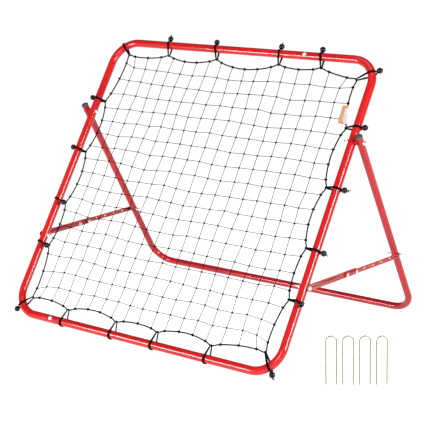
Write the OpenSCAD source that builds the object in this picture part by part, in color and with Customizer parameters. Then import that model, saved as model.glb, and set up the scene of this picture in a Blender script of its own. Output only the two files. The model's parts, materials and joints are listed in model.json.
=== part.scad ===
// Pitch back rebounder: a square steel tube frame that leans back on a U-shaped stand,
// with a knotted net laced inside it on elastic ball ties.
// The origin is on the ground at the middle of the footprint: +X to the right, +Y to the back.

/* [Net frame] */
// Outer width and height of the square net frame
frame_size = 1000; // [980:10:1040]
// Diameter of the net frame's tube
frame_tube_d = 25; // [20:1:28]
// Lean of the net frame back from upright, in degrees
frame_lean = 33.85; // [25:0.05:40]
// Bend radius of the net frame's corners, at the tube's axis
frame_bend_r = 80; // [60:5:100]
// Place along the top tube of its joint, from the middle
top_joint_x = 240; // [100:1:300]
// Place along the bottom tube of its joint, from the middle
bottom_joint_x = -329; // [-350:1:-100]

/* [Stand] */
// Diameter of the stand's tube
stand_tube_d = 22; // [18:1:24]
// Length of a stand leg from its pivot to the rear tube's axis
leg_len = 708; // [650:1:800]
// Height of the pivot along the net frame's side tube
pivot_u = 712; // [650:1:760]
// Bend radius of the stand's corners, at the tube's axis
stand_bend_r = 70; // [50:5:100]
// Length of tube above the pivot
leg_top = 22; // [15:1:30]

/* [Adjusting bars] */
// Height of the lower bar's bolt along the side tube
lower_bolt_u = 262; // [220:1:300]
// Distance of the upper bar's bolt down the leg from the pivot
upper_bolt_v = 457; // [420:1:500]
// Width of the lower bar
lower_bar_w = 19.5; // [16:0.5:24]
// Width of the upper bar
upper_bar_w = 15; // [12:0.5:18]
// Thickness of both bars
bar_t = 2; // [1.5:0.5:3]
// Distance between the adjusting holes
hole_pitch = 50; // [45:0.5:55]
// Distance of the first adjusting hole from the upper bar's bolt
first_hole = 54; // [40:1:60]
// Diameter of the adjusting holes
hole_d = 6.6; // [6.2:0.2:8]

/* [Net and ties] */
// Diameter of the elastic cord of the ball ties
tie_cord_d = 3.4; // [3:0.1:4]
// Diameter of the balls on the ties
ball_d = 18; // [14:1:20]
// Diameter of the rope round the net's edge
edge_rope_d = 4; // [3:0.5:6]
// Height of each scallop of the net's edge as a share of its span
scallop = 0.085; // [0.04:0.005:0.12]

/* [Ground pegs] */
// Height of a ground peg
peg_h = 143; // [110:2:180]
// Width of a ground peg between its wires' axes at the top
peg_w = 29; // [26:1:36]
// Diameter of the peg wire
peg_wire_d = 3.6; // [3:0.2:5]
// Distance between neighbouring pegs
peg_pitch = 45.5; // [40:0.5:60]

/* [Hidden] */
$fn = 64;

// Tube radii and walls
wall = 1.2;
frame_r = frame_tube_d / 2;
stand_r = stand_tube_d / 2;
half = frame_size / 2 - frame_r;
side_len = 2 * half;
corner = half - frame_bend_r;

// Joint of the frame's two halves: a necked spigot, 45 mm long, inside the other tube
spigot_len = 45;
spigot_gap = 0.2;
top_seam_x = top_joint_x + spigot_len / 2;
bottom_seam_x = bottom_joint_x - spigot_len / 2;

// The bottom tube stands on the elastic cords that pass under it
cord_gap = 0.2;
frame_axis_z = frame_r + cord_gap + tie_cord_d;

// Places in the Y-Z plane, measured from the front tube's axis on the ground
pivot_y = pivot_u * sin(frame_lean);
pivot_z = frame_axis_z + pivot_u * cos(frame_lean);
leg_angle = acos((pivot_z - stand_r) / leg_len);
rear_y = pivot_y + leg_len * sin(leg_angle);
front_y = -rear_y / 2;
lower_y = lower_bolt_u * sin(frame_lean);
lower_z = frame_axis_z + lower_bolt_u * cos(frame_lean);
upper_y = pivot_y + upper_bolt_v * sin(leg_angle);
upper_z = pivot_z - upper_bolt_v * cos(leg_angle);
strut_len = norm([upper_y - lower_y, upper_z - lower_z]);
strut_rise = atan2(upper_z - lower_z, upper_y - lower_y);

// Layers along X on the right side, from the middle outwards
side_gap = 3.5;
bar_seat = 0.9;
leg_seat = 0.7;
tilt_room = 0.75;
leg_x = half + frame_r + side_gap + stand_r;
lower_bar_x = half + frame_r + bar_seat + bar_t / 2;
upper_bar_x = leg_x + stand_r + leg_seat + bar_t / 2;
bar_gap = 0.4;
lap = bar_t + bar_gap;
bar_tilt = atan((upper_bar_x - lap - lower_bar_x) / strut_len);
bar_span = strut_len / cos(bar_tilt);

// M6 fasteners
bolt_r = 3;
run_r = bolt_r + 0.08;
hex_r = 5.77;
head_h = 4;
nut_h = 5;
washer_r = 6.5;
washer_t = 1.2;
seat_gap = 0.3;
nut_ease = 0.05;
washer_ease = 0.3;
spacer_r = 8;
// Length of thread past each nut
pivot_tail = 9;
lower_tail = 12;
upper_tail = 11;
lock_tail = 5;
lock_ease = 0.1;

// Adjusting holes, measured from the upper bar's bolt: four are free and two are locked
free_holes = [for (i = [0:3]) first_hole + i * hole_pitch];
lock_holes = [for (i = [4:5]) first_hole + i * hole_pitch];

// Spring button
button_r = 6;
button_hole_r = button_r + 0.08;
button_out = 3;
leaf_w = 9;
leaf_len = 34;
leaf_t = 0.8;
leaf_drop = 3;
spring_z = -7;

// Leg caps
cap_r = stand_r + 0.6;
cap_rim_h = 2;
cap_gap = 0.1;
cap_plug_h = 10;
cap_plug_r = stand_r - wall - 0.15;

// Ties: places along each side of the net and of the ball, from the middle or from the bottom
top_ties = [[-267, -285], [-76, -99], [156, 145], [306, 291]];
right_ties = [[752, 760], [562, 562], [374, 368], [218, 217]];
bottom_ties = [[-281, -288], [-89, -92], [67, 64], [260, 256]];
left_ties = [[752, 760], [565, 575], [381, 387], [232, 235]];
// Distance from the tube's axis to the net's edge on each side
gap_top = 37;
gap_right = 34;
gap_bottom = 40;
gap_left = 34;
// Corners of the net
net_tl = [-429, 928];
net_tr = [436, 910];
net_br = [436, 59];
net_bl = [-437, 52];
// Width of a tie's two cords over the tube and round the rope, and the room they leave inside
tie_w = 8;
tie_net_w = 5;
tie_room = 1.8;
corner_room = 4.4;
bend_slant = 4;
loop_ease = 1.012;
ball_r = ball_d / 2;
ball_gap = 0.4;
ball_reach = frame_r + cord_gap + tie_cord_d + ball_r + ball_gap;
neck_r = 2.6;
neck_gap = 0.5;

// A tie is its net point, its point on the tube's axis, its ball's place and the ball's height
function along(p, gap) = p[0] + (p[1] - p[0]) * gap / (gap + ball_reach);
function out_ball(tube, net) = tube + (tube - net) * ball_reach / norm(tube - net);
function outer_tie(net, tube) = [net, tube, out_ball(tube, net), 0];
function front_tie(net, tube, shift, up) = [net, tube, tube + shift, up];
function arc_point(sx, sy, a) = [
    sx * (corner + frame_bend_r * cos(a)),
    half + sy * (corner + frame_bend_r * sin(a))
];
top_list = [for (p = top_ties)
    outer_tie([p[0], side_len - gap_top], [along(p, gap_top), side_len])];
right_outer = [for (i = [0:2])
    outer_tie([half - gap_right, right_ties[i][0]], [half, along(right_ties[i], gap_right)])];
right_front = front_tie([half - gap_right, right_ties[3][0]], [half, right_ties[3][1]],
    [17.5, -9], 18);
bottom_list = [for (p = bottom_ties)
    front_tie([p[0], gap_bottom], [along(p, gap_bottom), 0], [0, 8], -ball_reach + 2)];
left_outer = [for (i = [0:1])
    outer_tie([gap_left - half, left_ties[i][0]], [-half, along(left_ties[i], gap_left)])];
left_inner = [for (i = [2:3])
    front_tie([gap_left - half, left_ties[i][0]], [-half, left_ties[i][1]], [35, -10], 13)];
corner_list = [
    front_tie(net_tl, arc_point(-1, 1, 51), [-16, 9], -17.5),
    outer_tie(net_tr, arc_point(1, 1, 28)),
    outer_tie(net_br, arc_point(1, -1, 46)),
    outer_tie(net_bl, arc_point(-1, -1, 45))
];
ties = concat(top_list, right_outer, [right_front], bottom_list, left_outer, left_inner,
    corner_list);

// Edge of the net: tie points in order round it, with a sagging span between neighbours
edge_top = [for (t = top_list) t[0]];
edge_right = [for (t = concat(right_outer, [right_front])) t[0]];
edge_bottom = [for (i = [3:-1:0]) bottom_list[i][0]];
edge_left = [for (t = concat(left_inner, left_outer)) t[0]];
edge_left_up = [edge_left[1], edge_left[0], edge_left[3], edge_left[2]];
edge_ties = concat([net_tl], edge_top, [net_tr], edge_right, [net_br], edge_bottom, [net_bl],
    edge_left_up);
span_points = 8;
corner_scallop = 0.02;
net_mid = [0, half];
function is_corner(p) = p == net_tl || p == net_tr || p == net_br || p == net_bl;
function sag(a, b) = norm(b - a) * (is_corner(a) || is_corner(b) ? corner_scallop : scallop);
function inward(a, b) = [b[1] - a[1], a[0] - b[0]] / norm(b - a);
function span(a, b) = [for (k = [0:span_points - 1])
    let (t = k / span_points) a + (b - a) * t + inward(a, b) * sag(a, b) * 4 * t * (1 - t)];
edge_line = [for (i = [0:len(edge_ties) - 1])
    each span(edge_ties[i], edge_ties[(i + 1) % len(edge_ties)])];
net_t = 1.2;
net_margin = 10;

// Label on the net's edge
label_w = 17;
label_h = 58;
label_t = 0.6;
label_x = 431;
label_u = 794;
label_lift = 0.4;

// Ground pegs stand in a row to the right of the frame
peg_row_x = 679;
peg_row_y = 109;
peg_row_turn = 37.5;
peg_wire_r = peg_wire_d / 2;
peg_bend_r = peg_w / 2;
peg_taper = 0.2;
peg_lean = 1.6;
peg_tip = 8;
peg_tip_r = 0.4;

// Frames of reference
module in_net_frame() {
    translate([0, front_y, frame_axis_z])
        rotate([90 - frame_lean, 0, 0])
            children();
}

module in_stand() {
    translate([0, front_y + pivot_y, pivot_z])
        rotate([leg_angle - 90, 0, 0])
            children();
}

// Turned to the bars' slope, with its origin at the lower bar's bolt
module in_strut() {
    translate([0, front_y + lower_y, lower_z])
        rotate([strut_rise, 0, 0])
            children();
}

// Along the bars themselves, which run outwards from the side tube to the leg
module in_bars() {
    in_strut()
        translate([lower_bar_x, 0, 0])
            rotate([0, 0, -bar_tilt])
                children();
}

module on_side(side) {
    if (side < 0)
        mirror([1, 0, 0])
            children();
    else
        children();
}

module both_sides() {
    for (side = [-1, 1])
        on_side(side)
            children();
}

// A round bar from x0 to x1 along X
module x_bar(r, x0, x1) {
    translate([min(x0, x1), 0, 0])
        rotate([0, 90, 0])
            cylinder(r = r, h = abs(x1 - x0));
}

// A round bar from y0 to y1 along Y
module y_bar(r, y0, y1) {
    translate([0, min(y0, y1), 0])
        rotate([-90, 0, 0])
            cylinder(r = r, h = abs(y1 - y0));
}

// A quarter bend about its centre, in the quadrant given by the signs
module quarter_bend(bend_r, r, sx, sy) {
    start = sx > 0 ? (sy > 0 ? 0 : 270) : (sy > 0 ? 90 : 180);
    rotate([0, 0, start])
        rotate_extrude(angle = 90)
            translate([bend_r, 0])
                circle(r = r);
}

// Solid path of one half of the net frame, from its bottom seam to its top seam
module half_path(side, r, more) {
    bottom_end = bottom_seam_x + (side > 0 ? -more : 0);
    top_end = top_seam_x + (side < 0 ? more : 0);
    x_bar(r, bottom_end, side * corner);
    translate([side * corner, frame_bend_r, 0])
        quarter_bend(frame_bend_r, r, side, -1);
    translate([side * half, 0, 0])
        y_bar(r, frame_bend_r, side_len - frame_bend_r);
    translate([side * corner, side_len - frame_bend_r, 0])
        quarter_bend(frame_bend_r, r, side, 1);
    translate([0, side_len, 0])
        x_bar(r, top_end, side * corner);
}

// The necked end of one half, which goes into the other half
module spigot(side, r, more) {
    if (side < 0)
        x_bar(r, bottom_seam_x - more, bottom_seam_x + spigot_len + more);
    else
        translate([0, side_len, 0])
            x_bar(r, top_seam_x - spigot_len - more, top_seam_x + more);
}

module button_hole(x, u) {
    translate([x, u, 0])
        cylinder(r = button_hole_r, h = frame_tube_d);
}

module frame_half(side) {
    color("crimson")
        in_net_frame()
            difference() {
                union() {
                    half_path(side, frame_r, 0);
                    spigot(side, frame_r - wall - spigot_gap, 0);
                }
                half_path(side, frame_r - wall, 1);
                spigot(side, frame_r - 2 * wall - spigot_gap, 1);
                for (u = [pivot_u, lower_bolt_u])
                    translate([side * half, u, 0])
                        x_bar(run_r, -frame_tube_d, frame_tube_d);
                button_hole(top_joint_x, side_len);
                button_hole(bottom_joint_x, 0);
            }
}

// Spring button: a domed pin on the free leaf of a folded leaf spring inside the spigot
module at_button(x, u) {
    in_net_frame()
        translate([x, u, 0])
            children();
}

module button(x, u) {
    leaf_z = frame_r - 2 * wall - spigot_gap - leaf_drop;
    color("ivory")
        at_button(x, u) {
            translate([0, 0, leaf_z])
                cylinder(r = button_r, h = frame_r + button_out - button_r / 2 - leaf_z);
            translate([0, 0, frame_r + button_out - button_r / 2])
                intersection() {
                    translate([0, 0, -button_r * 3 / 4])
                        sphere(r = button_r * 5 / 4);
                    cylinder(r = button_r, h = button_r);
                }
            translate([-leaf_len / 2, -leaf_w / 2, leaf_z - leaf_t])
                cube([leaf_len, leaf_w, leaf_t]);
        }
}

module button_spring(x, u) {
    color("silver")
        at_button(x, u)
            translate([-leaf_len / 2, -leaf_w / 2, spring_z])
                cube([leaf_len, leaf_w, leaf_t]);
}

module net() {
    color("black")
        in_net_frame()
            translate([0, 0, -net_t / 2])
                linear_extrude(height = net_t)
                    polygon([for (p = edge_line) net_mid + (p - net_mid) * (1 - net_margin / half)]);
}

module net_edge_rope() {
    grow = edge_rope_d / 2 / half;
    color("black")
        in_net_frame()
            translate([0, 0, -edge_rope_d / 2])
                linear_extrude(height = edge_rope_d)
                    difference() {
                        polygon([for (p = edge_line) net_mid + (p - net_mid) * (1 + grow)]);
                        polygon([for (p = edge_line) net_mid + (p - net_mid) * (1 - grow)]);
                    }
}

module net_label() {
    color("orange")
        in_net_frame()
            translate([label_x - label_w / 2, label_u - label_h / 2, edge_rope_d / 2 + label_lift])
                cube([label_w, label_h, label_t]);
}

// Outline of two circles joined by their outer tangents, in short straight steps
function arc_points(x, r, start, end, steps) = [for (k = [0:steps])
    let (a = start + (end - start) * k / steps) [x + r * cos(a), r * sin(a)]];

module tangent_link(reach, r1, r2) {
    a = acos((r1 - r2) / reach);
    polygon(concat(arc_points(0, r1, a, 360 - a, 14), arc_points(reach, r2, -a, a, 8)));
}

// Outline of a tie seen from in front: it narrows from the tube to the net's edge
module tie_outline(reach, r_in) {
    far = reach + r_in;
    polygon([
        [-far, -tie_w / 2], [r_in, -tie_w / 2], [reach, -tie_net_w / 2], [far, -tie_net_w / 2],
        [far, tie_net_w / 2], [reach, tie_net_w / 2], [r_in, tie_w / 2], [-far, tie_w / 2]
    ]);
}

// An elastic tie: a loop round the tube and the net's edge rope, and its ball
module ball_tie(tie) {
    net_point = tie[0];
    tube_point = tie[1];
    reach = norm(net_point - tube_point);
    turn = atan2(net_point[1] - tube_point[1], net_point[0] - tube_point[0]);
    on_straight = abs(tube_point[0]) < corner || abs(tube_point[1] - half) < corner;
    slant = on_straight ? abs(turn - 90 * round(turn / 90)) : bend_slant;
    r_in = loop_ease * (frame_r / cos(slant) + tie_w / 2 * tan(slant) + cord_gap / 2);
    rope_in = edge_rope_d / 2 + (is_corner(net_point) ? corner_room : tie_room);
    shift = tie[2] - tube_point;
    ball = [shift * [cos(turn), sin(turn)], shift * [-sin(turn), cos(turn)], tie[3]];
    anchor = [ball[0], 0, ball[2]] * (r_in + neck_gap) / norm([ball[0], ball[2]]);
    neck = ball - anchor;
    color("dimgray")
        in_net_frame()
            translate([tube_point[0], tube_point[1], 0])
                rotate([0, 0, turn]) {
                    intersection() {
                        rotate([90, 0, 0])
                            linear_extrude(height = 2 * tie_w, center = true)
                                difference() {
                                    tangent_link(reach, r_in + tie_cord_d, rope_in + tie_cord_d);
                                    tangent_link(reach, r_in, rope_in);
                                }
                        linear_extrude(height = 4 * r_in, center = true)
                            tie_outline(reach, r_in);
                    }
                    translate(ball)
                        rotate([0, -asin(neck[2] / norm(neck)), atan2(neck[1], neck[0])]) {
                            sphere(r = ball_r);
                            x_bar(neck_r, 0, -norm(neck));
                        }
                }
}

// A bolt along X: its head's seat is at x_head, and its thread ends at x_end
module bolt(x_head, x_end) {
    x_bar(bolt_r, x_end, x_head);
    translate([x_head, 0, 0])
        rotate([0, 90, 0])
            cylinder(r = hex_r, h = head_h, $fn = 6);
}

module nut(x) {
    difference() {
        translate([x, 0, 0])
            rotate([0, 90, 0])
                cylinder(r = hex_r, h = nut_h, $fn = 6);
        x_bar(bolt_r + nut_ease, x - 1, x + nut_h + 1);
    }
}

module washer(x) {
    difference() {
        x_bar(washer_r, x, x + washer_t);
        x_bar(bolt_r + washer_ease, x - 1, x + washer_t + 1);
    }
}

// Where each bolt is, on both sides
module at_pivots() {
    in_stand()
        both_sides()
            children();
}

module at_lower_bolts() {
    in_strut()
        both_sides()
            children();
}

module at_upper_bolts() {
    in_strut()
        both_sides()
            translate([0, strut_len, 0])
                children();
}

inner_nut_x = half - frame_r - seat_gap - nut_h;
pivot_seat_x = leg_x + stand_r + seat_gap;
lower_seat_x = lower_bar_x + bar_t / 2 + tilt_room;
upper_seat_x = upper_bar_x + bar_t / 2 + tilt_room;
upper_nut_x = leg_x - stand_r - seat_gap - nut_h;

module pivot_bolts() {
    color("silver")
        at_pivots()
            bolt(pivot_seat_x + washer_t, inner_nut_x - pivot_tail);
}

module pivot_nuts() {
    color("silver")
        at_pivots()
            nut(inner_nut_x);
}

module pivot_spacers() {
    color("dimgray")
        at_pivots()
            difference() {
                x_bar(spacer_r, half + frame_r + seat_gap, half + frame_r + side_gap - seat_gap);
                x_bar(bolt_r + washer_ease, half, leg_x);
            }
}

module lower_bar_bolts() {
    color("silver")
        at_lower_bolts()
            bolt(lower_seat_x + washer_t, inner_nut_x - lower_tail);
}

module lower_bar_nuts() {
    color("silver")
        at_lower_bolts()
            nut(inner_nut_x);
}

module frame_washers() {
    color("silver") {
        at_pivots()
            washer(pivot_seat_x);
        at_lower_bolts()
            washer(lower_seat_x);
    }
}

// Solid path of the stand's U, from leg end to leg end
module stand_path(r, more) {
    across = leg_x - stand_bend_r;
    for (side = [-1, 1]) {
        translate([side * leg_x, 0, 0])
            y_bar(r, -leg_top - more, leg_len - stand_bend_r);
        translate([side * across, leg_len - stand_bend_r, 0])
            quarter_bend(stand_bend_r, r, side, 1);
    }
    translate([0, leg_len, 0])
        x_bar(r, -across, across);
}

module stand_tube() {
    color("crimson")
        in_stand()
            difference() {
                stand_path(stand_r, 0);
                stand_path(stand_r - wall, 1);
                for (side = [-1, 1], v = [0, upper_bolt_v])
                    translate([side * leg_x, v, 0])
                        x_bar(run_r, -stand_tube_d, stand_tube_d);
            }
}

module leg_cap(side) {
    color("slategray")
        in_stand()
            translate([side * leg_x, -leg_top - cap_gap, 0])
                rotate([90, 0, 0]) {
                    cylinder(r = cap_r, h = cap_rim_h);
                    translate([0, 0, cap_rim_h])
                        intersection() {
                            translate([0, 0, -cap_r])
                                sphere(r = cap_r * sqrt(2));
                            cylinder(r = cap_r, h = cap_r);
                        }
                    translate([0, 0, -cap_plug_h])
                        cylinder(r = cap_plug_r, h = cap_plug_h + cap_gap);
                }
}

module upper_bar_bolts() {
    color("silver")
        at_upper_bolts()
            bolt(upper_seat_x + washer_t, upper_nut_x - upper_tail);
}

module upper_bar_nuts() {
    color("silver")
        at_upper_bolts()
            nut(upper_nut_x);
}

module stand_washers() {
    color("silver")
        at_upper_bolts()
            washer(upper_seat_x);
}

// A flat bar between two end centres along Y, with rounded ends
module flat_bar(y0, y1, w) {
    translate([-bar_t / 2, y0, -w / 2])
        cube([bar_t, y1 - y0, w]);
    for (y = [y0, y1])
        translate([0, y, 0])
            x_bar(w / 2, -bar_t / 2, bar_t / 2);
}

module lower_bar(side) {
    color("crimson")
        on_side(side)
            difference() {
                in_bars()
                    difference() {
                        flat_bar(0, bar_span - lock_holes[0], lower_bar_w);
                        for (h = lock_holes)
                            translate([0, bar_span - h, 0])
                                x_bar(hole_d / 2, -bar_t, bar_t);
                    }
                in_strut()
                    x_bar(run_r, half, leg_x);
            }
}

module upper_bar(side) {
    color("crimson")
        on_side(side)
            difference() {
                in_bars()
                    translate([lap, 0, 0])
                        difference() {
                            flat_bar(bar_span - lock_holes[1], bar_span, upper_bar_w);
                            for (h = concat(free_holes, lock_holes))
                                translate([0, bar_span - h, 0])
                                    x_bar(hole_d / 2, -bar_t, bar_t);
                        }
                in_strut()
                    translate([0, strut_len, 0])
                        x_bar(run_r, leg_x, leg_x + 2 * stand_tube_d);
            }
}

// A lock bolt is parted where the bars slide: its head stays in the upper bar's hole
module lock_bolts(side) {
    color("silver")
        on_side(side)
            in_bars()
                for (h = lock_holes)
                    translate([lap, bar_span - h, 0])
                        bolt(bar_t / 2 + lock_ease, -bar_t / 2);
}

// The nut and the rest of the bolt stay in the lower bar's hole
module lock_nuts(side) {
    color("silver")
        on_side(side)
            in_bars()
                for (h = lock_holes)
                    translate([0, bar_span - h, 0]) {
                        x_bar(bolt_r, -bar_t / 2 - nut_h - lock_tail, bar_t / 2);
                        translate([-bar_t / 2 - nut_h - lock_ease, 0, 0])
                            rotate([0, 90, 0])
                                cylinder(r = hex_r, h = nut_h, $fn = 6);
                    }
}

// One U-shaped wire peg standing on its points; its wires close in towards the points
module ground_peg(i) {
    leg_h = peg_h - peg_bend_r - peg_wire_r;
    row = (i - 1.5) * peg_pitch;
    color("darkkhaki")
        translate([peg_row_x, front_y + peg_row_y, 0])
            rotate([0, 0, peg_row_turn])
                translate([row, 0, peg_bend_r * sin(peg_lean)])
                    rotate([0, -peg_lean, 0])
                        peg_wire(leg_h);
}

// Hairpin of wire standing on the ground: a bend at the top and two pointed legs
module peg_wire(leg_h) {
    translate([0, 0, leg_h])
        rotate([90, 0, 0]) {
            rotate([0, 0, -peg_taper])
                rotate_extrude(angle = 180 + 2 * peg_taper)
                    translate([peg_bend_r, 0])
                        circle(r = peg_wire_r);
            for (side = [-1, 1])
                rotate([0, 0, -side * peg_taper])
                    translate([side * peg_bend_r, 0, 0])
                        rotate([90, 0, 0]) {
                            cylinder(r = peg_wire_r, h = leg_h - peg_tip);
                            translate([0, 0, leg_h - peg_tip])
                                cylinder(r1 = peg_wire_r, r2 = peg_tip_r, h = peg_tip);
                        }
        }
}

frame_half(-1);  // left_frame_half
frame_half(1);  // right_frame_half
button_spring(top_joint_x, side_len);  // top_button_spring
button_spring(bottom_joint_x, 0);  // bottom_button_spring
net();
net_edge_rope();
net_label();
ball_tie(ties[0]);  // ball_tie_top_1
ball_tie(ties[1]);  // ball_tie_top_2
ball_tie(ties[2]);  // ball_tie_top_3
ball_tie(ties[3]);  // ball_tie_top_4
ball_tie(ties[4]);  // ball_tie_right_1
ball_tie(ties[5]);  // ball_tie_right_2
ball_tie(ties[6]);  // ball_tie_right_3
ball_tie(ties[7]);  // ball_tie_right_4
ball_tie(ties[8]);  // ball_tie_bottom_1
ball_tie(ties[9]);  // ball_tie_bottom_2
ball_tie(ties[10]);  // ball_tie_bottom_3
ball_tie(ties[11]);  // ball_tie_bottom_4
ball_tie(ties[12]);  // ball_tie_left_1
ball_tie(ties[13]);  // ball_tie_left_2
ball_tie(ties[14]);  // ball_tie_left_3
ball_tie(ties[15]);  // ball_tie_left_4
ball_tie(ties[16]);  // ball_tie_corner_1
ball_tie(ties[17]);  // ball_tie_corner_2
ball_tie(ties[18]);  // ball_tie_corner_3
ball_tie(ties[19]);  // ball_tie_corner_4
pivot_bolts();
pivot_nuts();
pivot_spacers();
lower_bar_bolts();
lower_bar_nuts();
frame_washers();
stand_tube();
leg_cap(1);  // right_leg_cap
leg_cap(-1);  // left_leg_cap
upper_bar_bolts();
upper_bar_nuts();
stand_washers();
lower_bar(1);  // right_lower_bar
lock_nuts(1);  // right_lock_nuts
lower_bar(-1);  // left_lower_bar
lock_nuts(-1);  // left_lock_nuts
upper_bar(1);  // right_upper_bar
lock_bolts(1);  // right_lock_bolts
upper_bar(-1);  // left_upper_bar
lock_bolts(-1);  // left_lock_bolts
button(top_joint_x, side_len);  // top_button
button(bottom_joint_x, 0);  // bottom_button
ground_peg(0);  // ground_peg_1
ground_peg(1);  // ground_peg_2
ground_peg(2);  // ground_peg_3
ground_peg(3);  // ground_peg_4
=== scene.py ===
"""Looks of the pitch back rebounder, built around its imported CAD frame."""

import json
import math
import random

import bmesh
import bpy
import numpy as np
from mathutils import Matrix, Vector


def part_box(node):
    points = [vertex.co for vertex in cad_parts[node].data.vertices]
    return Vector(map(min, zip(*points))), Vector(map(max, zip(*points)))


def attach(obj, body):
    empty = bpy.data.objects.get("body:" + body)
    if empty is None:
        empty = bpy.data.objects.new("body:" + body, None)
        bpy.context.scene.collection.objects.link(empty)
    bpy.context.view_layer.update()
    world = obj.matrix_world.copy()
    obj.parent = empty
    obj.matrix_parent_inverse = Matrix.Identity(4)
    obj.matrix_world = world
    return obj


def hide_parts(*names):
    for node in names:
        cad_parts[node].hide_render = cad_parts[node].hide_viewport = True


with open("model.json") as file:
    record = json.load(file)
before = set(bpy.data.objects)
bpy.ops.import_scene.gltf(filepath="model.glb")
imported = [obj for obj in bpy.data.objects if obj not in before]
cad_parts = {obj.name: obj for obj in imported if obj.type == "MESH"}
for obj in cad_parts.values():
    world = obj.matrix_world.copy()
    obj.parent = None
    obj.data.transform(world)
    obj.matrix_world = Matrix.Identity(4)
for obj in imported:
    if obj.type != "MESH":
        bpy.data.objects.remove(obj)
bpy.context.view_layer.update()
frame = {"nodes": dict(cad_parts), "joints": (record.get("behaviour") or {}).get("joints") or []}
JOINTS = {j["name"]: j for j in frame["joints"]}

# Camera: lens and place, as the object was seen
LENS = 104.76
CAMERA_AT = (2.188, -3.116, 1.2432)
CAMERA_PITCH = 12.0
CAMERA_YAW = 37.553
CAMERA_ROLL = -0.171
CAMERA_SHIFT = (0.128, -0.0779)

# Tubes, and the net frame's own axes: X across, U up the lean, N out of the net's face
TUBE_R = 0.0125
BEND_R = 0.080
LOW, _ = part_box("left_frame_half")
FRONT_Y = LOW.y + TUBE_R
AXIS_Z = LOW.z + TUBE_R
HALF = -LOW.x - TUBE_R
SIDE = 2 * HALF
PRESS = JOINTS["top_button_press"]["axis"]
SIN, COS = -PRESS[2], PRESS[1]
NET_FRAME = Matrix((
    (1, 0, 0, 0),
    (0, SIN, -COS, FRONT_Y),
    (0, COS, SIN, AXIS_Z),
    (0, 0, 0, 1),
))

# Centre lines of the bent tubes: place, tilt about X, low and high bounds of the path that the
# bends turn round, bend radius and tube radius. A point is on the paint within SKIN_ROOM of it.
STAND_R = 0.011
STAND_BEND_R = 0.070
STAND_LOW, STAND_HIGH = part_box("stand_tube")
REAR = Vector((0, STAND_HIGH.y - STAND_R, STAND_LOW.z + STAND_R))
PIVOT = Vector(JOINTS["stand_fold"]["pos_m"])
LEG_X = STAND_HIGH.x - STAND_R
SKIN_ROOM = 0.0003
OPEN_END = 10.0
FRAME_TUBE = ((0, FRONT_Y + HALF * SIN, AXIS_Z + HALF * COS), math.atan2(COS, SIN),
              (BEND_R - HALF, BEND_R - HALF), (HALF - BEND_R, HALF - BEND_R), BEND_R, TUBE_R)
STAND_TUBE = (tuple(REAR), math.atan2(PIVOT.z - REAR.z, PIVOT.y - REAR.y),
              (STAND_BEND_R - LEG_X, STAND_BEND_R), (LEG_X - STAND_BEND_R, OPEN_END),
              STAND_BEND_R, STAND_R)

# Net: knots in a square grid, and the rope round its edge. For each metre apart, two knots pull
# on each other with 1, and two rope points with ROPE_PULL over ROPE_STEP, or over TIE_STEP
# beside a tie. KNOT_LOAD hangs on each knot. The balanced knots then stray by smooth waves
# (DRIFT) and at random (KNOT_STRAY), in metres.
CELLS = 18
TWINE_R = 0.00095
KNOT_R = 0.0026
KNOT_TWINE_R = TWINE_R * 1.35
KNOT_POINTS = 14
HITCH_TWINE_R = TWINE_R * 1.1
HITCH_W = 0.0042
HITCH_POINTS = 23
HITCH_PER_TURN = 9
ROPE_R = 0.0023
ROPE_PULL = 0.26 * CELLS * 0.6
ROPE_STEP, TIE_STEP = 0.5, 0.25
ROPE_SPAN_POINTS = 10
KNOT_LOAD = 0.00016
KNOT_STRAY = 0.0012
DRIFT = 0.0035
DRIFT_WAVES = 4
WAVE_LOW, WAVE_HIGH = 0.5, 1.3
NET_SEED, KNOT_SEED = 7, 11

# Elastic ties: cord and ball, then the places of each side's ties along it, on the net's edge
# and of the ball. TAILS are the loose cord ends at some balls: how far each bends, its length.
CORD_R = 0.0017
CORD_SPREAD = CORD_R * 1.12
CORD_STEP = 0.0016
CORD_THIN = 0.76
CORD_FILL = 0.09
CORD_SINK = 0.55
SPREAD_AT_BALL, SPREAD_AT_ROPE = 0.35, 0.5
BALL_LEAN = 0.8
ARC_STEP = 0.22
HOOK_STEPS = 8
END_KNOT_R = 0.0019
END_KNOT_CORD_R = 0.0010
TAIL_R = CORD_R * 0.8
TAIL_WAVE = 0.0006
BALL_R = 0.009
BALL_HOLE_R = 0.0027
BALL_HOLE_DEPTH = 0.0022
BALL_HOLE_ROUND = 0.0006
TIE_GAP = 0.0002
BALL_REACH = TUBE_R + TIE_GAP + 2 * CORD_R + BALL_R + 0.0004
TAILS = {
    "top_1": [(0.002, 0.009), (-0.003, 0.006)],
    "top_3": [(-0.002, 0.007)],
    "right_2": [(0.003, 0.012), (-0.004, 0.008)],
    "right_3": [(-0.005, 0.009)],
    "corner_3": [(0.004, 0.010), (-0.003, 0.006)],
}
GAP_TOP, GAP_RIGHT, GAP_BOTTOM, GAP_LEFT = 0.037, 0.034, 0.040, 0.034
TOP_TIES = [(-0.267, -0.285), (-0.076, -0.099), (0.156, 0.145), (0.306, 0.291)]
RIGHT_TIES = [(0.752, 0.760), (0.562, 0.562), (0.374, 0.368), (0.218, 0.217)]
BOTTOM_TIES = [(-0.281, -0.288), (-0.089, -0.092), (0.067, 0.064), (0.260, 0.256)]
LEFT_TIES = [(0.752, 0.760), (0.565, 0.575), (0.381, 0.387), (0.232, 0.235)]
NET_CORNERS = [(-0.429, 0.928), (0.436, 0.910), (0.436, 0.059), (-0.437, 0.052)]
CORNER_ANGLES = [(-1, 1, 51), (1, 1, 28), (1, -1, 46), (-1, -1, 45)]

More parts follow.
